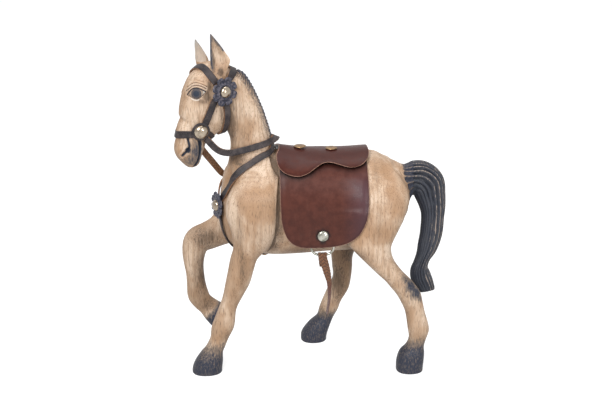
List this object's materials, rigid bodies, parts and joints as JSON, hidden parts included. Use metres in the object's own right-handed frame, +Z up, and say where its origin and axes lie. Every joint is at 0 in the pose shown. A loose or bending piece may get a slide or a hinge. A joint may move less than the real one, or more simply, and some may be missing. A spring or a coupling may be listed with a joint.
{
  "type": "wooden toy horse",
  "caption": "Carved wooden toy horse standing on three hooves with one foreleg raised, with a leather saddle, bridle, reins, breast strap and hanging girth strap.",
  "frame": {"origin": "under the middle of the bounding box, at the height of the soles", "axes": "-X is the way the horse walks, -Y is its own left side, which the picture shows, and +Z is up"},
  "size_m": [0.2684, 0.1039, 0.3415],
  "materials": {
    "wood": "hand-carved, waxed, with a worn grey-brown stain",
    "painted_wood": "blue-black paint, rubbed through on the ridges",
    "dowel_wood": "plain",
    "strap_leather": "smooth, worn",
    "rosette_leather": "smooth, cut and shaped",
    "saddle_leather": "smooth, with a soft sheen",
    "suede": "rough flesh side out",
    "brass": "dull, aged",
    "nickel": "nickel plate, worn"
  },
  "bodies": {
    "horse": {"torso": "wood", "neck_head": "wood", "left_foreleg": "wood", "right_foreleg": "wood", "left_hind_leg": "wood", "right_hind_leg": "wood", "tail": "painted_wood", "neck_dowel": "dowel_wood", "shoulder_dowel": "dowel_wood", "hip_dowel": "dowel_wood", "tail_dowel": "dowel_wood", "browband": "strap_leather", "crown_strap": "strap_leather", "throat_latch": "strap_leather", "noseband": "strap_leather", "curb_strap": "strap_leather", "left_cheek_strap": "strap_leather", "right_cheek_strap": "strap_leather", "reins": "strap_leather", "breast_strap": "strap_leather", "martingale": "strap_leather", "left_keeper": "strap_leather", "right_keeper": "strap_leather", "left_bridle_rosette": "rosette_leather", "right_bridle_rosette": "rosette_leather", "chest_rosette": "rosette_leather", "saddle_flaps": "saddle_leather", "saddle_seat": "saddle_leather", "left_bridle_stud": "nickel", "right_bridle_stud": "nickel", "left_nose_stud": "nickel", "right_nose_stud": "nickel", "chest_stud": "nickel", "left_flap_rivet": "nickel", "right_flap_rivet": "nickel", "front_seat_nail": "brass", "rear_seat_nail": "brass", "belly_nail": "brass"},
    "left_ring": {"left_ring": "nickel"},
    "girth": {"girth_strap": "suede"},
    "right_ring": {"right_ring": "nickel"}
  },
  "joints": [
    {"name": "left_ring_swing", "type": "hinge", "parent": "horse", "child": "left_ring", "pos_m": [0.0069, -0.03815, 0.1405], "axis": [-1, 0, 0], "range_deg": [-25, 30]},
    {"name": "girth_swing", "type": "hinge", "parent": "left_ring", "child": "girth", "pos_m": [0.0069, -0.03815, 0.1285], "axis": [-1, 0, 0], "range_deg": [-15, 45]},
    {"name": "right_ring_swing", "type": "hinge", "parent": "horse", "child": "right_ring", "pos_m": [0.0069, 0.03998, 0.1405], "axis": [1, 0, 0], "range_deg": [-25, 30]}
  ]
}
